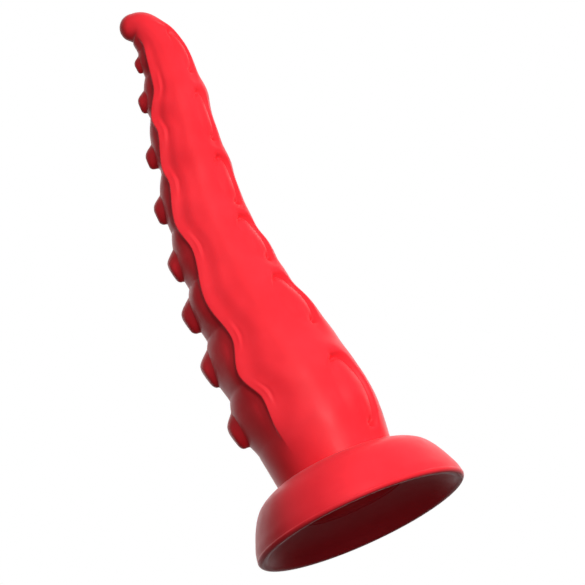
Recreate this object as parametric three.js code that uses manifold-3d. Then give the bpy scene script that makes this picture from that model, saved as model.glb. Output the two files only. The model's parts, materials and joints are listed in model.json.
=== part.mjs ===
// A soft tentacle on a flared suction-cup base, in millimetres.
// +Z runs up the cup's axis from the plane that the rim rests on. The tentacle curves in the XZ
// plane: its suckers face -X and its tip hooks over towards -X.
// The tentacle is cut into sections. Each joint is a ball and socket centred on its own pivot,
// so that a section can bend either way on the one below it without touching it.
import * as THREE from 'three';
import { mergeVertices } from 'three/addons/utils/BufferGeometryUtils.js';
import Module from 'manifold-3d';

const wasm = await Module();
wasm.setup();

// ---- Driving dimensions ----
const GAP = 0.3;                  // clearance between touching pieces
const RIM_RADIUS = 45;            // outer edge of the cup
const CUP_HEIGHT = 24.4;          // from the rest plane to the seat of the tentacle
const HOLLOW_RADIUS = 42.4;       // mouth of the cup's hollow
const RECESS_RADIUS = 21.5;       // round recess in the roof of the hollow
const HOLLOW_HEIGHT = 10.4;       // edge of the recess above the rest plane
const RECESS_HEIGHT = 14;         // roof of the recess above the rest plane
const SECTION_SIDES = 24;         // facets around the tentacle
const RING_STEP = 4.6;            // spacing of its cross-sections
const BALL_FACTOR = 1.12;         // ball radius over the tentacle's radius at the seam
const BALL_SIDES = 24;            // facets around a ball
const BALL_RINGS = 10;            // facets from its top to its bottom
const WEB_ANGLE = 48;             // wavy side webs, in degrees from the sucker side's midline
const SCALE_ANGLE = 139;          // the two rows of scale-like swellings, likewise
const PAD_WIDTH = 50;             // how far each sucker's pad spreads round the side, likewise
const SUCKER_TILT = 8;            // how far each sucker leans towards the base, in degrees
const DEPTH_FACTOR = 0.97;        // sideways radius over radius in the plane of the curve

// Centreline of the tentacle from its root to its nose: x, z and radius.
const SPINE = [
  [-0.5, 24.7, 24.4],
  [-0.6, 41.5, 26],
  [-1.3, 55.5, 26],
  [-3.2, 70.5, 25],
  [-5.0, 94, 21.5],
  [-6.0, 115, 18.4],
  [-5.9, 139.5, 16],
  [-2.3, 164, 13.9],
  [1.5, 185, 12.3],
  [4.2, 201.5, 10.4],
  [4.9, 209, 9.3],
  [4.3, 215, 8.2],
  [1.8, 221, 7.1],
  [-2.5, 224.2, 5.4],
];
const NOSE_RADIUS = 5.4;

// The row of suckers, from the cup to the tip: height, radius and how far they stand out.
const SUCKERS = [
  [55.1, 4.4, 5.4],
  [81.9, 4.3, 4.7],
  [104.4, 4.1, 5.6],
  [124.9, 3.8, 4.3],
  [146.3, 3.4, 4.1],
  [167.7, 2.9, 3.7],
  [190.1, 2.6, 3.2],
  [206.3, 2.0, 2.2],
];

// Scale-like swellings of one row: lower and upper end.
const SCALES = [[34.5, 67.5], [81, 106], [112, 135.5], [140.5, 163], [169, 190.5], [198.5, 216]];

// Heights of the seams, each in the valley between two suckers.
const SEAMS = [40.5, 68.5, 93.5, 115, 138, 160, 181, 200.5];

// ---- Materials ----
function silicone(hex) {
  return new THREE.MeshStandardMaterial({ color: hex, roughness: 0.45, metalness: 0 });
}
const RED = silicone(0xe3212c);
const SUCKER_RED = silicone(0xc81d28);
const CUP_RED = silicone(0xd92630);

// ---- Solids ----
function toSolid(geometry) {
  geometry.deleteAttribute('normal');
  geometry.deleteAttribute('uv');
  const merged = mergeVertices(geometry, 1e-4);
  return new wasm.Manifold(new wasm.Mesh({
    numProp: 3,
    vertProperties: new Float32Array(merged.attributes.position.array),
    triVerts: new Uint32Array(merged.index.array),
  }));
}

function toGeometry(solid) {
  const mesh = solid.getMesh();
  const geometry = new THREE.BufferGeometry();
  geometry.setAttribute('position', new THREE.BufferAttribute(mesh.vertProperties, 3));
  geometry.setIndex(new THREE.BufferAttribute(mesh.triVerts, 1));
  geometry.computeVertexNormals();
  return geometry;
}

function bump(distance, halfWidth) {
  const t = Math.abs(distance) / halfWidth;
  return t >= 1 ? 0 : (1 + Math.cos(Math.PI * t)) / 2;
}

// ---- The tentacle's surface ----
const spineCurve = new THREE.CatmullRomCurve3(
  SPINE.map(([x, z]) => new THREE.Vector3(x, 0, z)), false, 'catmullrom', 0.5);
const radiusCurve = new THREE.CatmullRomCurve3(
  SPINE.map(([, , r]) => new THREE.Vector3(r, 0, 0)), false, 'catmullrom', 0.5);

// Place, directions and radius at a share t of the centreline.
function station(t) {
  const centre = spineCurve.getPoint(t);
  const along = spineCurve.getTangent(t);
  const ventral = new THREE.Vector3(-along.z, 0, along.x);
  return { centre, along, ventral, radius: radiusCurve.getPoint(t).x };
}

// The share of the centreline at which it passes a height below the hook.
function shareAtHeight(z) {
  let low = 0;
  let high = 0.8;
  for (let i = 0; i < 30; i += 1) {
    const middle = (low + high) / 2;
    if (spineCurve.getPoint(middle).z < z) low = middle;
    else high = middle;
  }
  return low;
}

// Radius in a direction, in degrees from the midline of the sucker side.
function sectionRadius(place, degrees) {
  const angle = Math.abs(degrees);
  const fade = THREE.MathUtils.smoothstep(place.centre.z, 40, 62)
    * (1 - THREE.MathUtils.smoothstep(place.centre.z, 203, 217));
  const web = bump(angle - WEB_ANGLE, 22);
  let pad = 0;
  for (const [z, size] of SUCKERS) {
    pad += bump(place.centre.z - z - 1, 2.4 * size) * bump(angle, PAD_WIDTH);
  }
  let scale = 0;
  for (const [low, high] of SCALES) {
    scale += bump(place.centre.z - (low + high) / 2, (high - low) / 2) * bump(angle - SCALE_ANGLE, 30);
  }
  const relief = fade * (0.035 * web + 0.045 * pad) + 0.03 * scale;
  return place.radius * (1 + relief);
}

function surfacePoint(place, degrees, extra) {
  const angle = THREE.MathUtils.degToRad(degrees);
  const reach = sectionRadius(place, degrees) + extra;
  return place.centre.clone()
    .addScaledVector(place.ventral, reach * Math.cos(angle))
    .add(new THREE.Vector3(0, DEPTH_FACTOR * reach * Math.sin(angle), 0));
}

// Closed skin of the whole tentacle. extra grows it evenly, for cutting what sits on it.
function tentacleSkin(extra) {
  const points = [];
  const faces = [];
  const rings = Math.round(spineCurve.getLength() / RING_STEP);
  const addRing = (place, scale) => {
    for (let side = 0; side < SECTION_SIDES; side += 1) {
      const rim = surfacePoint(place, side * 360 / SECTION_SIDES, extra);
      points.push(rim.sub(place.centre).multiplyScalar(scale).add(place.centre));
    }
  };
  for (let ring = 0; ring <= rings; ring += 1) {
    addRing(station(ring / rings), 1);
  }
  const end = station(1);
  const nose = NOSE_RADIUS + extra;
  for (const degrees of [30, 58]) {
    const angle = THREE.MathUtils.degToRad(degrees);
    const centre = end.centre.clone().addScaledVector(end.along, nose * Math.sin(angle));
    addRing({ ...end, centre }, Math.cos(angle));
  }
  const rows = points.length / SECTION_SIDES;
  for (let row = 0; row + 1 < rows; row += 1) {
    for (let side = 0; side < SECTION_SIDES; side += 1) {
      const next = (side + 1) % SECTION_SIDES;
      const a = row * SECTION_SIDES + side;
      const b = row * SECTION_SIDES + next;
      faces.push(a, a + SECTION_SIDES, b, b, a + SECTION_SIDES, b + SECTION_SIDES);
    }
  }
  const foot = points.push(station(0).centre.clone()) - 1;
  const tip = points.push(end.centre.clone().addScaledVector(end.along, nose)) - 1;
  const last = (rows - 1) * SECTION_SIDES;
  for (let side = 0; side < SECTION_SIDES; side += 1) {
    const next = (side + 1) % SECTION_SIDES;
    faces.push(foot, side, next);
    faces.push(tip, last + next, last + side);
  }
  const geometry = new THREE.BufferGeometry().setFromPoints(points);
  geometry.setIndex(faces);
  return toSolid(geometry);
}

// ---- Joints ----
// Each ball stands below its seam, so that its sphere meets the skin exactly at the seam.
const balls = SEAMS.map((z) => {
  const place = station(shareAtHeight(z));
  const radius = BALL_FACTOR * place.radius;
  const drop = Math.sqrt(radius ** 2 - place.radius ** 2);
  return { radius, along: place.along, pivot: place.centre.clone().addScaledVector(place.along, -drop) };
});

// Everything above a ball's pivot and outside the ball, with the socket's clearance if asked.
function above(ball, clearance) {
  const upright = new THREE.Quaternion().setFromUnitVectors(new THREE.Vector3(0, 0, 1), ball.along);
  const block = new THREE.BoxGeometry(200, 200, 260);
  block.translate(0, 0, 130 + clearance);
  block.applyQuaternion(upright);
  block.translate(...ball.pivot.toArray());
  const sphere = new THREE.SphereGeometry(ball.radius + clearance, BALL_SIDES, BALL_RINGS);
  sphere.rotateX(Math.PI / 2);
  sphere.applyQuaternion(upright);
  sphere.translate(...ball.pivot.toArray());
  return toSolid(block).subtract(toSolid(sphere));
}

// A socket's flats must stay outside its ball's corners at every angle of the joint.
function socketClearance(ball) {
  const flatness = Math.cos(Math.PI / BALL_SIDES) * Math.cos(Math.PI / BALL_RINGS / 2);
  return ball.radius * (1 / flatness - 1) + GAP / 2;
}

function addNode(group, name, geometry, material) {
  const mesh = new THREE.Mesh(geometry, material);
  mesh.name = name;
  group.add(mesh);
}

// ---- The tentacle, one solid for each section ----
function addTentacle(group) {
  const skin = tentacleSkin(0);
  const names = ['tentacle_root'];
  for (let i = 1; i < balls.length; i += 1) {
    names.push(`tentacle_section_${i}`);
  }
  names.push('tentacle_tip');
  names.forEach((name, i) => {
    let solid = skin;
    if (i > 0) {
      solid = solid.intersect(above(balls[i - 1], socketClearance(balls[i - 1])));
    }
    if (i < balls.length) {
      solid = solid.subtract(above(balls[i], 0));
    }
    addNode(group, name, toGeometry(solid), RED);
  });
}

// ---- Suckers ----
// A low rounded cone with a dished face, standing along +Z of its own.
function suckerProfile(radius, height) {
  return [
    [0, -3],
    [1.55 * radius, -3],
    [1.5 * radius, 0.1 * height],
    [1.35 * radius, 0.6 * height],
    [1.05 * radius, 0.97 * height],
    [0.85 * radius, height],
    [0.4 * radius, 0.86 * height],
    [0, 0.82 * height],
  ].map(([x, y]) => new THREE.Vector2(x, y));
}

function addSuckers(group) {
  const grownSkin = tentacleSkin(GAP);
  const tilt = THREE.MathUtils.degToRad(SUCKER_TILT);
  SUCKERS.forEach(([z, radius, height], i) => {
    const place = station(shareAtHeight(z));
    const axis = place.ventral.clone().multiplyScalar(Math.cos(tilt))
      .addScaledVector(place.along, -Math.sin(tilt));
    const stub = new THREE.LatheGeometry(suckerProfile(radius, height), 16);
    stub.applyQuaternion(new THREE.Quaternion().setFromUnitVectors(new THREE.Vector3(0, 1, 0), axis));
    stub.translate(...surfacePoint(place, 0, 0).toArray());
    addNode(group, `sucker_${i + 1}`, toGeometry(toSolid(stub).subtract(grownSkin)), SUCKER_RED);
  });
}

// ---- Suction cup ----
// An upturned bowl: flat rest ring, rounded side and shoulder, conical hollow and round recess.
function addCup(group) {
  const profile = [
    [0, RECESS_HEIGHT],
    [RECESS_RADIUS - 1.2, RECESS_HEIGHT],
    [RECESS_RADIUS, RECESS_HEIGHT - 1.2],
    [RECESS_RADIUS, HOLLOW_HEIGHT],
    [0.5 * (RECESS_RADIUS + HOLLOW_RADIUS), 0.58 * HOLLOW_HEIGHT],
    [HOLLOW_RADIUS - 1.5, 1.2],
    [HOLLOW_RADIUS, 0],
    [RIM_RADIUS - 0.8, 0],
    [RIM_RADIUS, 1],
    [44.7, 3.6],
    [43.1, 8.2],
    [41.4, 12],
    [39, 16.3],
    [36.4, 19.8],
    [33.8, 21.9],
    [30, 23.7],
    [26.2, CUP_HEIGHT],
    [0, CUP_HEIGHT],
  ].map(([x, y]) => new THREE.Vector2(x, y));
  const bowl = new THREE.LatheGeometry(profile, 48);
  bowl.rotateX(Math.PI / 2);
  addNode(group, 'suction_cup', toGeometry(toSolid(bowl)), CUP_RED);
}

const toy = new THREE.Group();
addCup(toy);
addTentacle(toy);
addSuckers(toy);

export default toy;
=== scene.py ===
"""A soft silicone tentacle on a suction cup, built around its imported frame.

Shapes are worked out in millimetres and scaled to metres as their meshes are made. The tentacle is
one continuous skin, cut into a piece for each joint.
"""
import json
import math
import bpy
import numpy as np
from mathutils import Matrix, Vector
from mathutils.bvhtree import BVHTree

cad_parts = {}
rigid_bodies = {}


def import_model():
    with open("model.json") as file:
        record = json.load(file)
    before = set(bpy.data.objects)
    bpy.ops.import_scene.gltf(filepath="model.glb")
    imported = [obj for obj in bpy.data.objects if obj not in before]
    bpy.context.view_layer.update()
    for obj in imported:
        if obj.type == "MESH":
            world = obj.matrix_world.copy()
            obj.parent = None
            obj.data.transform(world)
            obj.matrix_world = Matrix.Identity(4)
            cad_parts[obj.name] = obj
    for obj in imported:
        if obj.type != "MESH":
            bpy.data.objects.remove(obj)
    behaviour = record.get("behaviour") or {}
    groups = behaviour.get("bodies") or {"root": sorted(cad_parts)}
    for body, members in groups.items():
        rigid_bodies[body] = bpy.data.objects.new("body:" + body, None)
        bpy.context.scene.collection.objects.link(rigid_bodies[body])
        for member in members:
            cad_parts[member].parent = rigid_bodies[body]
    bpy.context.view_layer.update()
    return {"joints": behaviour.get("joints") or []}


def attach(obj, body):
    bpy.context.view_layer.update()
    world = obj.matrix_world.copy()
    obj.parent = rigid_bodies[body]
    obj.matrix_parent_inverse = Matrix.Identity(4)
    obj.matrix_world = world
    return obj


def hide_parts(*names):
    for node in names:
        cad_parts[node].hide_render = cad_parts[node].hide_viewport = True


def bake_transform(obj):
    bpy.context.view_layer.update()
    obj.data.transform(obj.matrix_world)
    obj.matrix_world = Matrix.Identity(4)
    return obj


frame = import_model()

MM = 0.001

# ---- Driving dimensions, in millimetres and degrees ----
# Centreline from the root to the nose: x, z and radius.
SPINE = np.array([
    [-0.5, 24.7, 24.4],
    [-0.6, 41.5, 26],
    [-1.3, 55.5, 26],
    [-3.2, 70.5, 25],
    [-5.0, 94, 21.5],
    [-6.0, 115, 18.4],
    [-5.9, 139.5, 16],
    [-2.3, 164, 13.9],
    [1.5, 185, 12.3],
    [4.2, 201.5, 10.4],
    [4.9, 209, 9.3],
    [4.3, 215, 8.2],
    [1.8, 221, 7.1],
    [-2.5, 224.2, 5.4],
])
ROOT_SINK = 1.2          # how far the skin runs down into the top of the cup
SUCKER_TILT = 8          # lean of the suckers' axes towards the base
SUCKER_SKEW = 0.4        # how far a sucker's foot lies tip-wards of its lip, over the lip's radius
SUCKER_SIDES = 40
CUP_SIDES = 160
RING_STEP = 0.5          # spacing of the skin's cross-sections
SIDE_COLUMNS = (48, 132)  # columns on one side: midline to web, web to back
WEB_REACH = 0.9          # sideways place of the web's edge over the radius
WEB_LIMIT = 1.15         # furthest that the edge stands from the centreline, likewise
WEB_START = (30, 58)     # heights between which the web comes up from the round root
LIP_START = (38, 60)     # heights between which the web's lip does
WEB_END = (209, 221)     # heights between which both fade out
STREAK = 0.16            # height of the streaks beside the web's crests
SIDE = 0.97              # widest half-width of a cross-section over the radius
SIDE_PLACE = -0.06       # place of that widest part towards the suckers, likewise
SIDE_SHARE = 0.45        # share of the columns behind the web that run up to it
WIDEST = 26              # the tentacle's widest radius, which the size of detail is set against
# Crests and troughs of the web's wavy edge: height, and angle it is seen at from the side.
WEB_WAVE = np.array([
    [30, 58], [46, 55], [60, 58], [72.5, 47], [86.5, 57.5], [107, 43], [126.5, 54], [139.6, 39.5],
    [153.5, 48], [162, 36.5], [175, 45.5], [182, 33.5], [194, 55], [207, 52], [217.5, 56],
])
CRESTS = [60, 86.5, 126.5, 153.5, 175, 194]   # heights at which the edge stands furthest back
# The row of suckers: height, radius of the lip and how far they stand out from their pads.
SUCKERS = [
    (55.1, 4.4, 3.1),
    (81.9, 4.3, 2.7),
    (104.4, 4.1, 3.7),
    (124.9, 3.8, 2.7),
    (146.3, 3.4, 3.2),
    (167.7, 2.9, 3.4),
    (190.1, 2.6, 2.5),
    (206.3, 2.0, 1.6),
]
# Valleys between the pads that the suckers stand on.
VALLEYS = [42.4, 69.6, 94.2, 115.8, 138.1, 163, 184, 201, 214]
PAD_HEIGHT = 0.12        # how far a pad stands out over the tentacle's radius
PAD_SKEW = 1.36          # power that moves a pad's crest towards the tip
PAD_FADE = (205, 212)    # heights between which the pads fade out
PAD_FADED = 0.7          # share of a pad's height that is lost there
# How deep the floor of the pads lies towards the tip: height and depth.
PAD_FLOOR = [
    (126, 0), (131, 0.9), (140, 0.6), (151, 0.9), (161, 2.1), (165, 0.7), (172, 0.9), (182, 1.2),
    (187, 0.4), (193, 1), (203, 1.1), (210, 0),
]
SCALE_WIDTH = 0.29       # half-width of a scale over the tentacle's radius
# Scale-like swellings of one row: lower end, upper end and middle angle.
SCALES = [
    (31, 60, 138), (78, 102.5, 140), (110.5, 132, 141), (138.5, 160, 142), (168, 188, 142),
    (197, 213, 143),
]
# Low swells and hollows along the back: height, half-length and rise.
BACK_SWELLS = [
    (57, 9, -0.5), (74, 6, 0.5), (88.3, 7.3, 0.3), (98.5, 6, -1.2), (109, 4, -0.5),
    (119.5, 6.5, 0.3), (126, 5, -0.7), (160, 5, 0.9), (180, 6, -0.5), (190, 5, 1.3), (204, 7, 0.4),
]
# Long waves of the moulding's unevenness: length and phase, and their height over their length.
WAVES = [(31, 0.4), (23, 2.1), (17, 4.4), (13, 1.3), (9.7, 5.2)]
WAVE_HEIGHT = 0.0016
# A sucker's surface from its skirt to its middle: distance over the lip's radius, and height.
SUCKER_OUTLINE = [
    (1.8, -0.03), (1.66, 0.1), (1.53, 0.28), (1.41, 0.48), (1.27, 0.66), (1.09, 0.82), (0.87, 0.94),
    (0.62, 1.0), (0.34, 0.97), (0, 0.93),
]
# The cup's outline in four parts: distance from the axis, and height.
CUP_RIM = 45             # outer radius of the cup's rim
LIP = 1.6                # radius that the rim is rounded to
CUP_TOP = [(22, 24.3), (25.4, 24.4), (27.2, 24.2), (29.4, 23.6)]
CUP_WALL = [
    (29.4, 23.6), (31.8, 22.6), (34, 21.4), (36.4, 19.6), (38.6, 16.9), (40.3, 14.1), (41.8, 11.1),
    (43.1, 8.1), (44.3, 5), (45, 1.6),
]
CUP_HOLLOW = [
    (43.4, 0), (42.2, 0.06), (41.2, 0.5), (40.2, 1.7), (38.6, 3.6), (35.6, 5.9), (30.5, 8),
    (22.4, 10.2),
]
CUP_RECESS = [(22.4, 10.2), (21.6, 10.8), (20.9, 12.9), (17.8, 13.9), (6, 14)]

# ---- Stage, lights and camera, in metres and radians ----
AMBIENT = (0.04, 0.22)   # strength of the light from straight below and from straight above
REFLECTED = (0.15, 1.3)  # brightness in reflections in front of the object and behind it
FLOOR_SIZE = 1.6
FLOOR_FADE = (0.1, 0.4)  # distances from the cup between which the floor fades out
CAMERA_AIM = Vector((0.01275, 0, 0.0971))
CAMERA_RISE = math.radians(12.45)
CAMERA_ROLL = math.radians(-24.6)
CAMERA_DISTANCE = 10     # far enough to see it nearly parallel
CAMERA_WIDTH = 0.2339    # width of the view at the object
# Lamps: name, place to the right, up and towards the camera, size, power, and if it shows in gloss.
LAMPS = [
    ("key", 0.45, 0.5, 0.6, 0.3, 8.2, False),
    ("sheen", 0.15, 0.3, 0.85, 0.3, 2.2, True),
    ("fill", 0.1, -0.35, 0.8, 0.5, 0.3, False),
    ("back", -0.25, 0.2, -0.85, 0.6, 3.5, False),
]


def smooth(low, high, x):
    t = np.clip((x - low) / (high - low), 0, 1)
    return t * t * (3 - 2 * t)


def hump(x, width):
    return np.exp(-((x / width) ** 2))


# ---- The centreline ----
def spline(t):
    """Catmull-Rom curve through SPINE: x, z and radius at shares t of the way."""
    first = 2 * SPINE[0] - SPINE[1]
    last = 2 * SPINE[-1] - SPINE[-2]
    knots = np.vstack([first, SPINE, last])
    place = np.clip(np.asarray(t, float), 0, 1) * (len(SPINE) - 1)
    i = np.minimum(place.astype(int), len(SPINE) - 2)
    w = (place - i)[..., None]
    before, a, b, after = (knots[i + k] for k in range(4))
    out, into = (b - before) / 2, (after - a) / 2
    return (a + out * w + (3 * (b - a) - 2 * out - into) * w ** 2
            + (2 * (a - b) + out + into) * w ** 3)


FINE = np.linspace(0, 1, 4001)
FINE_POINTS = spline(FINE)
FINE_LENGTH = np.concatenate([[0], np.cumsum(np.hypot(*np.diff(FINE_POINTS[:, :2], axis=0).T))])


def share_at_height(z):
    """Share of the centreline at which it first passes a height below the hook."""
    rising = FINE < 0.8
    return np.interp(z, FINE_POINTS[rising, 1], FINE[rising])


def directions(t):
    """Unit vectors along the centreline and towards the sucker side, in the XZ plane."""
    step = 1e-4
    run = (spline(np.minimum(t + step, 1)) - spline(np.maximum(t - step, 0)))[..., :2]
    along = run / np.linalg.norm(run, axis=-1, keepdims=True)
    ventral = np.stack([-along[..., 1], along[..., 0]], -1)
    return along, ventral


# ---- Cross-section ----
def cubic(a, out, b, into, t):
    t = t[..., None]
    return (a * (2 * t ** 3 - 3 * t ** 2 + 1) + out * (t ** 3 - 2 * t ** 2 + t)
            + b * (3 * t ** 2 - 2 * t ** 3) + into * (t ** 3 - t ** 2))


def web_angle(z):
    """Angle at which the web's edge is seen, easing from each crest to the next trough."""
    z = np.clip(z, WEB_WAVE[0, 0], WEB_WAVE[-1, 0])
    i = np.clip(np.searchsorted(WEB_WAVE[:, 0], z, side="right") - 1, 0, len(WEB_WAVE) - 2)
    share = smooth(WEB_WAVE[i, 0], WEB_WAVE[i + 1, 0], z)
    return WEB_WAVE[i, 1] + share * (WEB_WAVE[i + 1, 1] - WEB_WAVE[i, 1])


def half_section(z):
    """One side of the cross-sections at heights z, over the radius: towards the suckers, sideways.

    The first columns run from the suckers' midline to the web's edge, and the rest from there
    round to the back. They stand closest together at the edge.
    """
    z = z[:, None]
    presence = smooth(*WEB_START, z) * (1 - smooth(*WEB_END, z))
    angle = np.radians(web_angle(z))
    edge_a = np.cos(angle)
    edge_b = np.minimum(WEB_REACH, np.sqrt(np.maximum(WEB_LIMIT ** 2 - edge_a ** 2, 0.3)))
    round_b = SIDE * np.sin(angle)
    edge_b = round_b + presence * (edge_b - round_b)
    edge = np.stack([edge_a, edge_b], -1)
    n_front, n_back = SIDE_COLUMNS
    t = 1 - (1 - np.linspace(0, 1, n_front + 1)[None, :-1]) ** 1.6 + 0 * z
    bow = np.hypot(1 - edge_a, edge_b)[..., None]
    turned = np.stack([-np.sin(angle) - 0 * z, SIDE * np.cos(angle)], -1)
    flat_in = np.stack([-0.42 + 0 * z, 0.91 + 0 * z], -1)
    into = turned + presence[..., None] * (flat_in - turned)
    midline = np.stack([1 + 0 * z, 0 * z], -1)
    sideways = np.stack([0 * z, 1 + 0 * z], -1)
    front = cubic(midline, 1.1 * bow * sideways, edge, 1.1 * bow * into, t)
    side = np.stack([SIDE_PLACE + 0 * z, SIDE + 0 * z], -1)
    backwards = np.stack([-1 + 0 * z, 0 * z], -1)
    reach = (edge_a + 0.06)[..., None]
    lateral = np.stack([-1 + 0 * z, 0.16 + 0 * z], -1)
    out = turned + presence[..., None] * (lateral - turned)
    t = np.linspace(0, 1, n_back + 1)[None, :] ** 1.22 + 0 * z
    to_side = np.clip(t / SIDE_SHARE, 0, 1)
    first = cubic(edge, 1.05 * reach * out, side, 1.1 * reach * backwards, to_side)
    quarter = np.clip((t - SIDE_SHARE) / 0.55, 0, 1) * math.pi / 2
    second = np.stack([SIDE_PLACE - 0.94 * np.sin(quarter), SIDE * np.cos(quarter)], -1)
    back = np.where((t < SIDE_SHARE)[..., None], first, second)
    return np.concatenate([front, back], 1)


def web_relief(z, size, from_web):
    """The web's raised and undercut lip, and the soft ridge behind it."""
    presence = smooth(*LIP_START, z) * (1 - smooth(*WEB_END, z))
    lip = (0.55 + 0.45 * size) * presence
    behind = np.maximum(from_web, 0)
    front = np.maximum(-from_web, 0)
    ridge = hump(behind, 2.8) * (1 - smooth(0, 1.3, front))
    trough = smooth(0.1, 1.3, front) * hump(np.maximum(front - 1.3, 0), 3.2)
    height = lip * (0.35 * ridge - 1.3 * trough)
    swell = hump(from_web - 12.5 * size, 3.6 * size) - hump(from_web - 6.5 * size, 3.4 * size)
    height += presence * size * (0.4 - 0.25 * size) * swell
    for crest in CRESTS:
        streak = hump(from_web - 2.4, 0.7) - hump(from_web - 3.7, 0.8)
        height += STREAK * presence * streak * hump(z - crest - 1, 4.5)
    return height, 1.1 * lip * hump(from_web + 1.3, 0.9)


def pad_relief(z, radius, share):
    """Domed pads between the webs, which meet in sharp valleys."""
    height = 0
    for low, high in zip(VALLEYS, VALLEYS[1:]):
        along = 2 * np.clip((z - low) / (high - low), 0, 1) ** PAD_SKEW - 1
        height += 1 - along ** 2
    height = height * (1 - PAD_FADED * smooth(*PAD_FADE, z))
    depth = np.interp(z, *zip(*PAD_FLOOR))
    return (PAD_HEIGHT * radius * height - depth) * np.clip(1 - share ** 4, 0, 1)


def scale_relief(z, radius, angle):
    """Domed scales, each under a fold that overhangs its tip-ward and outer edge."""
    size = radius / WIDEST
    height = 0
    for low, high, place in SCALES:
        half, wide = (high - low) / 2, SCALE_WIDTH * radius
        along = z - (low + high) / 2
        across = np.radians(angle - place) * SIDE * radius
        ring = np.hypot(along / half, across / wide)
        slope = np.maximum(np.hypot(along / half ** 2, across / wide ** 2), 1e-6)
        away = (ring - 1) * ring / slope
        turn = np.degrees(np.arctan2(along / half, across / wide))
        creased = smooth(-85, -40, turn) * (1 - smooth(95, 150, turn))
        inside = np.clip(1 - ring ** 2, 0, 1)
        dome = inside ** 2 + creased * (inside - inside ** 2)
        reach = 1.0 + 0.8 * size
        fold = smooth(-0.2, reach, away) * hump(np.maximum(away - reach, 0), 7 * size)
        groove = hump(away, 0.8)
        pit = np.hypot((along + 0.92 * half) / (0.9 + 0.9 * size),
                       (across - 0.4 * wide) / (0.7 + 0.8 * size))
        top = np.hypot((along - 1.08 * half) / (1 + size),
                       (across + 0.1 * wide) / (0.9 + 1.2 * size))
        height += (0.4 + 1.5 * size) * dome - (0.9 + 1.6 * size) * hump(pit, 1)
        height -= (0.8 + 0.9 * size) * hump(top, 1)
        creased = creased * (1 + 0.5 * hump(turn - 80, 40))
        height += creased * (0.35 + 0.75 * size) * (1.3 * fold - 0.8 * groove)
    return height


def back_relief(z, radius, angle):
    """Low swells along the back, where the two rows of scales meet."""
    height = -0.012 * radius * smooth(60, 80, z)
    for middle, length, rise in BACK_SWELLS:
        height = height + rise * hump(z - middle, length)
    return height * hump(angle - 180, 48)


def relief(z, radius, section, from_web):
    """Height of the surface's detail, and how far it is pushed towards the back, in millimetres."""
    across = np.abs(section[..., 1])
    angle = np.degrees(np.arctan2(across, section[..., 0]))
    edge = across[:, SIDE_COLUMNS[0]][:, None]
    share = np.where(from_web < 0, across / edge, 1)
    height, pushed = web_relief(z, radius / WIDEST, from_web)
    height = height + pad_relief(z, radius, share)
    height = height + scale_relief(z, radius, angle) + back_relief(z, radius, angle)
    return height, pushed


def uneven(points):
    """A slight unevenness of the moulding: a few long waves across each other."""
    total = np.zeros(points.shape[:-1])
    for turn, (length, phase) in enumerate(WAVES):
        way = np.array([math.cos(2.4 * turn), math.sin(2.4 * turn), 0.8 * math.cos(1.7 * turn)])
        total += np.sin(2 * math.pi * (points @ way) / length + phase) * length
    return WAVE_HEIGHT * total


# ---- The skin ----
def in_space(pair):
    """Vectors of the XZ plane, given as x and z, as vectors in space."""
    return np.stack([pair[..., 0], 0 * pair[..., 0], pair[..., 1]], -1)


def grid_normals(points):
    """Unit normals of a grid of points whose rows close into rings."""
    across = np.roll(points, -1, 1) - np.roll(points, 1, 1)
    normal = np.cross(np.gradient(points, axis=0), across)
    return normal / np.maximum(np.linalg.norm(normal, axis=-1, keepdims=True), 1e-12)


def section_points(section, t):
    """Places of cross-sections, given over the radius, at shares t of the centreline."""
    _, ventral = directions(t)
    spine = spline(t)
    reach = section * spine[:, None, 2:3]
    points = in_space(spine[:, :2])[:, None] + reach[..., :1] * in_space(ventral)[:, None]
    points[..., 1] += reach[..., 1]
    return points


def skin_grid(t):
    """Rings of skin points at shares t of the centreline, in millimetres."""
    along, _ = directions(t)
    spine = spline(t)
    half = half_section(spine[:, 1])
    section = np.concatenate([half, half[:, -2:0:-1] * np.array([1, -1])], 1)
    base = section_points(section, t)
    normal = grid_normals(base)
    steps = np.linalg.norm(np.diff(base[:, :sum(SIDE_COLUMNS) + 1], axis=1), axis=-1)
    length = np.concatenate([np.zeros((len(t), 1)), np.cumsum(steps, 1)], 1)
    from_web = length - length[:, SIDE_COLUMNS[0]][:, None]
    from_web = np.concatenate([from_web, from_web[:, -2:0:-1]], 1)
    height, pushed = relief(spine[:, 1:2], spine[:, 2:3], section, from_web)
    height = height + uneven(base) * smooth(26, 40, base[..., 2])
    backwards = np.cross(normal, in_space(along)[:, None]) * np.sign(section[..., 1:])
    return base + height[..., None] * normal + pushed[..., None] * backwards


def close_nose(grid):
    """Rings that round the last ring off into the nose, and the nose's point."""
    last = grid[-1]
    centre = in_space(spline(1.0)[:2])
    along = in_space(directions(np.array([1.0]))[0][0])
    start = math.radians(20)
    radius = SPINE[-1, 2] / math.cos(start)
    rings = []
    for angle in np.linspace(start, math.pi / 2, 13)[1:]:
        forward = radius * (math.sin(angle) - math.sin(start)) * along
        rings.append(centre + forward + (last - centre) * math.cos(angle) / math.cos(start))
    return np.array(rings[:-1]), rings[-1][0]


def new_object(name, points, faces, normals=None):
    """A smooth-shaded mesh object from points in millimetres."""
    mesh = bpy.data.meshes.new(name)
    mesh.from_pydata((np.asarray(points) * MM).tolist(), [], faces)
    mesh.polygons.foreach_set("use_smooth", np.ones(len(mesh.polygons), bool))
    mesh.update()
    if normals is not None:
        mesh.normals_split_custom_set_from_vertices(np.asarray(normals).tolist())
    piece = bpy.data.objects.new(name, mesh)
    bpy.context.scene.collection.objects.link(piece)
    return piece


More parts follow.
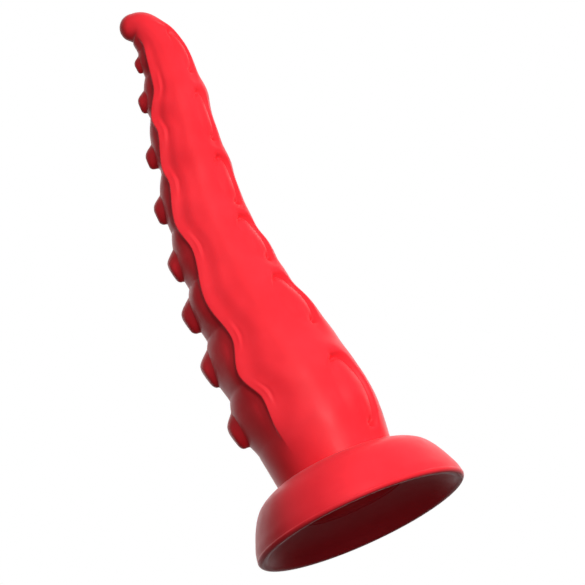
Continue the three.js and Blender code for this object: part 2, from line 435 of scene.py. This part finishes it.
def ring_faces(rows, columns, closed):
    """Quads between consecutive rings of points, and a fan to a point after the last if closed.

    They face along the way round crossed with the way from ring to ring.
    """
    faces = []
    for row in range(rows - 1):
        for column in range(columns):
            a, b = row * columns + column, row * columns + (column + 1) % columns
            faces.append((a, b, b + columns, a + columns))
    if closed:
        rim, point = (rows - 1) * columns, rows * columns
        faces += [(rim + c, rim + (c + 1) % columns, point) for c in range(columns)]
    return faces


def flipped(faces):
    return [face[::-1] for face in faces]


def pivots():
    """The joints up the tentacle: parent body, child body and pivot in millimetres."""
    chain = []
    for joint in frame["joints"]:
        chain.append((joint["parent"], joint["child"], np.array(joint["pos_m"]) / MM))
    return sorted(chain, key=lambda row: row[2][2])


def cut_heights():
    """Heights at which the skin is cut, half-way between neighbouring pivots."""
    heights = [place[2] for _, _, place in pivots()]
    return [(low + high) / 2 for low, high in zip(heights, heights[1:])]


def bend(piece):
    """Bakes a piece's placement into its mesh."""
    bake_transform(piece)


def make_skin(material):
    count = int(FINE_LENGTH[-1] / RING_STEP)
    t = np.interp(np.linspace(0, FINE_LENGTH[-1], count), FINE_LENGTH, FINE)
    grid = skin_grid(t)
    foot = grid[:1] - np.array([0, 0, ROOT_SINK])
    nose_rings, nose_point = close_nose(grid)
    grid = np.concatenate([foot, grid, nose_rings])
    normals = grid_normals(grid)
    columns = grid.shape[1]
    heights = np.concatenate([[0], spline(t)[:, 1], np.full(len(nose_rings), 1e3)])
    edges = [0] + [int(np.searchsorted(heights, z)) for z in cut_heights()] + [len(grid) - 1]
    pieces = []
    for index, (low, high) in enumerate(zip(edges, edges[1:])):
        points = grid[low:high + 1].reshape(-1, 3)
        piece_normals = normals[low:high + 1].reshape(-1, 3)
        closed = high == len(grid) - 1
        faces = flipped(ring_faces(high + 1 - low, columns, closed))
        if closed:
            along = in_space(directions(np.array([1.0]))[0][0])
            points = np.vstack([points, nose_point])
            piece_normals = np.vstack([piece_normals, along])
        piece = new_object(f"tentacle_skin_{index + 1}", points, faces, piece_normals)
        piece.data.materials.append(material)
        bend(piece)
        pieces.append(piece)
    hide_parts("tentacle_root")
    for index, piece in enumerate(pieces[1:-1]):
        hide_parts(f"tentacle_section_{index + 1}")
    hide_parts(f"tentacle_section_{len(pieces) - 1}", "tentacle_tip")
    points = [Vector(point) for point in grid.reshape(-1, 3)]
    return BVHTree.FromPolygons(points, ring_faces(len(grid), columns, False))


# ---- Suckers ----
def through(points, count):
    """A smooth curve through a few points, with count steps between each two."""
    points = np.array(points, float)
    knots = np.vstack([2 * points[0] - points[1], points, 2 * points[-1] - points[-2]])
    curve = []
    for before, a, b, after in zip(knots, knots[1:], knots[2:], knots[3:]):
        for w in np.arange(count) / count:
            out, into = (b - before) / 2, (after - a) / 2
            curve.append(tuple(a + out * w + (3 * (b - a) - 2 * out - into) * w ** 2
                               + (2 * (a - b) + out + into) * w ** 3))
    return curve + [tuple(points[-1])]


def make_sucker(name, row, tree, material):
    """A low cone with a rounded lip and a dished face, whose skirt lies on the skin in the tree."""
    middle, radius, height = row
    t = share_at_height(np.array([middle]))
    along, outward = (in_space(way[0]) for way in directions(t))
    tilt = math.radians(SUCKER_TILT)
    axis = math.cos(tilt) * outward - math.sin(tilt) * along
    climb = math.cos(tilt) * along + math.sin(tilt) * outward
    sideways = np.cross(axis, climb)
    centre = in_space(spline(t)[0, :2])
    seat = np.array(tree.ray_cast(Vector(centre + 60 * outward), Vector(-outward))[0])
    outline = through(SUCKER_OUTLINE, 5)
    points = []
    for wide, rise in outline[:-1]:
        hold = float(smooth(1.1, 1.9, wide))
        for angle in np.arange(SUCKER_SIDES) * 2 * math.pi / SUCKER_SIDES:
            flat = seat + wide * radius * (math.cos(angle) * climb + math.sin(angle) * sideways)
            flat = flat + SUCKER_SKEW * radius * (1 - rise) * climb
            below = tree.ray_cast(Vector(flat + 12 * axis), Vector(-axis), 30)[0]
            sink = hold * (np.array(below) - flat) if below else 0
            points.append(flat + sink + rise * height * axis)
    points.append(seat + outline[-1][1] * height * axis)
    piece = new_object(name, points, ring_faces(len(outline) - 1, SUCKER_SIDES, True))
    piece.data.materials.append(material)
    return piece


def make_suckers(tree, material):
    for number, row in enumerate(SUCKERS):
        piece = make_sucker(f"moulded_sucker_{number + 1}", row, tree, material)
        bend(piece)
        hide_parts(f"sucker_{number + 1}")


# ---- The suction cup ----
def arc(centre, radii, start, end, count):
    """Points of an elliptic arc between two angles in degrees."""
    turns = np.radians(np.linspace(start, end, count))
    return [(centre[0] + radii[0] * math.cos(a), centre[1] + radii[1] * math.sin(a)) for a in turns]


def make_cup(material):
    outline = through(CUP_TOP, 5)
    outline += through(CUP_WALL, 6)
    outline += arc((CUP_RIM - LIP, LIP), (LIP, LIP), 0, -90, 9)
    outline += through(CUP_HOLLOW, 8)
    outline += through(CUP_RECESS, 6)
    points = []
    for distance, height in outline:
        for angle in np.arange(CUP_SIDES) * 2 * math.pi / CUP_SIDES:
            points.append((distance * math.cos(angle), distance * math.sin(angle), height))
    points.append((0, 0, CUP_RECESS[-1][1]))
    faces = flipped(ring_faces(len(outline), CUP_SIDES, True))
    piece = new_object("moulded_suction_cup", points, faces)
    piece.data.materials.append(material)
    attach(piece, "base")
    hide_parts("suction_cup")


# ---- Materials ----
def link(tree, source, output, target, socket):
    tree.links.new(source.outputs[output], target.inputs[socket])


def noise(tree, place, scale, detail, rough=0.5):
    node = tree.nodes.new("ShaderNodeTexNoise")
    node.inputs["Scale"].default_value = scale
    node.inputs["Detail"].default_value = detail
    node.inputs["Roughness"].default_value = rough
    link(tree, place, "Object", node, "Vector")
    return node


def ramp(tree, source, stops):
    node = tree.nodes.new("ShaderNodeValToRGB")
    elements = node.color_ramp.elements
    for element, (position, colour) in zip(elements, stops):
        element.position = position
        element.color = colour
    link(tree, source, "Fac", node, "Fac")
    return node


def silicone(name, deep, clear, gloss):
    """Satin moulded silicone: cloudy colour, uneven gloss and a fine-grained surface."""
    material = bpy.data.materials.new(name)
    material.use_nodes = True
    tree = material.node_tree
    shader = tree.nodes["Principled BSDF"]
    place = tree.nodes.new("ShaderNodeTexCoord")
    cloud = noise(tree, place, 46, 3)
    tint = ramp(tree, cloud, [(0.3, deep), (0.7, clear)])
    link(tree, tint, "Color", shader, "Base Color")
    wear = noise(tree, place, 150, 4, 0.6)
    shiny, dull = (gloss - 0.05,) * 3 + (1,), (gloss + 0.07,) * 3 + (1,)
    sheen = ramp(tree, wear, [(0.25, shiny), (0.75, dull)])
    link(tree, sheen, "Color", shader, "Roughness")
    grain = noise(tree, place, 2600, 2, 0.6)
    bump = tree.nodes.new("ShaderNodeBump")
    bump.inputs["Strength"].default_value = 0.05
    bump.inputs["Distance"].default_value = 0.0002
    link(tree, grain, "Fac", bump, "Height")
    link(tree, bump, "Normal", shader, "Normal")
    shader.inputs["IOR"].default_value = 1.41
    shader.inputs["Specular IOR Level"].default_value = 0.4
    shader.inputs["Subsurface Weight"].default_value = 0.12
    shader.inputs["Subsurface Radius"].default_value = (1.0, 0.25, 0.2)
    shader.inputs["Subsurface Scale"].default_value = 0.003
    shader.inputs["Sheen Weight"].default_value = 0.06
    shader.inputs["Sheen Roughness"].default_value = 0.4
    return material


# ---- Stage, lights and camera ----
def level(tree, source, start, end, low, high):
    """A strength that eases from low to high as one part of a direction goes from start to end."""
    node = tree.nodes.new("ShaderNodeMapRange")
    node.interpolation_type = "SMOOTHSTEP"
    for socket, value in zip(("From Min", "From Max", "To Min", "To Max"), (start, end, low, high)):
        node.inputs[socket].default_value = value
    tree.links.new(source, node.inputs["Value"])
    return node.outputs["Result"]


def combine(tree, operation, a, b):
    node = tree.nodes.new("ShaderNodeMath")
    node.operation = operation
    tree.links.new(a, node.inputs[0])
    tree.links.new(b, node.inputs[1])
    return node.outputs["Value"]


def make_floor():
    """A pale floor that fades out, and is clear from below so that it doesn't hide the cup."""
    bpy.ops.mesh.primitive_plane_add(size=FLOOR_SIZE, location=(0, 0, 0))
    floor = bpy.context.object
    floor.name = "floor"
    material = bpy.data.materials.new("floor_paper")
    material.use_nodes = True
    tree = material.node_tree
    shader = tree.nodes["Principled BSDF"]
    shader.inputs["Base Color"].default_value = (0.9, 0.9, 0.9, 1)
    shader.inputs["Roughness"].default_value = 0.7
    clear = tree.nodes.new("ShaderNodeBsdfTransparent")
    side = tree.nodes.new("ShaderNodeNewGeometry")
    place = tree.nodes.new("ShaderNodeTexCoord")
    distance = tree.nodes.new("ShaderNodeVectorMath")
    distance.operation = "LENGTH"
    link(tree, place, "Object", distance, 0)
    faded = level(tree, distance.outputs["Value"], *FLOOR_FADE, 0, 1)
    mix = tree.nodes.new("ShaderNodeMixShader")
    tree.links.new(combine(tree, "MAXIMUM", side.outputs["Backfacing"], faded), mix.inputs["Fac"])
    link(tree, shader, "BSDF", mix, 1)
    link(tree, clear, "BSDF", mix, 2)
    link(tree, mix, "Shader", tree.nodes["Material Output"], "Surface")
    floor.data.materials.append(material)
    floor.visible_shadow = False
    floor.visible_diffuse = False
    floor.visible_glossy = False
    floor.visible_transmission = False


def make_world():
    """White behind the object, weak light from above, and a bright backdrop in its reflections."""
    world = bpy.data.worlds.new("studio")
    bpy.context.scene.world = world
    world.use_nodes = True
    tree = world.node_tree
    seen = tree.nodes["Background"]
    seen.inputs["Color"].default_value = (1, 1, 1, 1)
    path = tree.nodes.new("ShaderNodeLightPath").outputs
    place = tree.nodes.new("ShaderNodeTexCoord")
    split = tree.nodes.new("ShaderNodeSeparateXYZ")
    link(tree, place, "Generated", split, "Vector")
    way = split.outputs
    diffuse = level(tree, way["Z"], -0.7, 0.9, *AMBIENT)
    glossy = combine(tree, "MULTIPLY", level(tree, way["Y"], 0.0, 0.95, *REFLECTED),
                     level(tree, way["Z"], -0.5, 0.2, 0.08, 1))
    mirrored = combine(tree, "MULTIPLY", glossy, path["Is Glossy Ray"])
    other = combine(tree, "MAXIMUM", diffuse, mirrored)
    strength = combine(tree, "MAXIMUM", other, path["Is Camera Ray"])
    tree.links.new(strength, seen.inputs["Strength"])


def camera_turn():
    """The camera's rotation: level with -Y, raised below the object and rolled."""
    way = Vector((0, math.cos(CAMERA_RISE), math.sin(CAMERA_RISE)))
    turn = way.to_track_quat("-Z", "Y").to_matrix().to_4x4()
    return turn @ Matrix.Rotation(CAMERA_ROLL, 4, "Z")


def make_lamp(name, right, up, nearer, size, power, glossy):
    """A soft round lamp placed as the camera sees it: right, up and towards the camera."""
    data = bpy.data.lights.new(name, "AREA")
    data.shape = "DISK"
    data.size = size
    data.energy = power
    lamp = bpy.data.objects.new(name, data)
    bpy.context.scene.collection.objects.link(lamp)
    place = CAMERA_AIM + camera_turn().to_3x3() @ Vector((right, up, nearer))
    lamp.location = place
    lamp.visible_glossy = glossy
    lamp.visible_camera = False
    lamp.rotation_euler = (CAMERA_AIM - place).to_track_quat("-Z", "Y").to_euler()


def make_camera():
    data = bpy.data.cameras.new("camera")
    data.sensor_width = 36
    data.lens = CAMERA_DISTANCE / CAMERA_WIDTH * data.sensor_width
    data.clip_start = 0.01
    camera = bpy.data.objects.new("camera", data)
    bpy.context.scene.collection.objects.link(camera)
    turn = camera_turn()
    camera.matrix_world = Matrix.Translation(
        CAMERA_AIM + turn.to_3x3() @ Vector((0, 0, CAMERA_DISTANCE))) @ turn
    bpy.context.scene.camera = camera


scene = bpy.context.scene
scene.view_settings.view_transform = "Standard"
make_camera()
make_world()
for lamp in LAMPS:
    make_lamp(*lamp)
make_floor()

red = silicone("tentacle_silicone", (0.8, 0.019, 0.03, 1), (0.92, 0.029, 0.043, 1), 0.4)
# The suckers' copy of the silicone is painted a little darker than the tentacle's, as painted
# shade: they are the same silicone.
sucker_red_painted_shade = silicone("sucker_silicone", (0.78, 0.019, 0.03, 1), (0.9, 0.027, 0.04, 1), 0.4)
# The cup's copy is painted a little lighter and pinker in green and blue, as painted light: it is
# the same silicone.
cup_red_painted_light = silicone("cup_silicone", (0.8, 0.02, 0.032, 1), (0.92, 0.03, 0.045, 1), 0.4)
skin_tree = make_skin(red)
make_suckers(skin_tree, sucker_red_painted_shade)
make_cup(cup_red_painted_light)
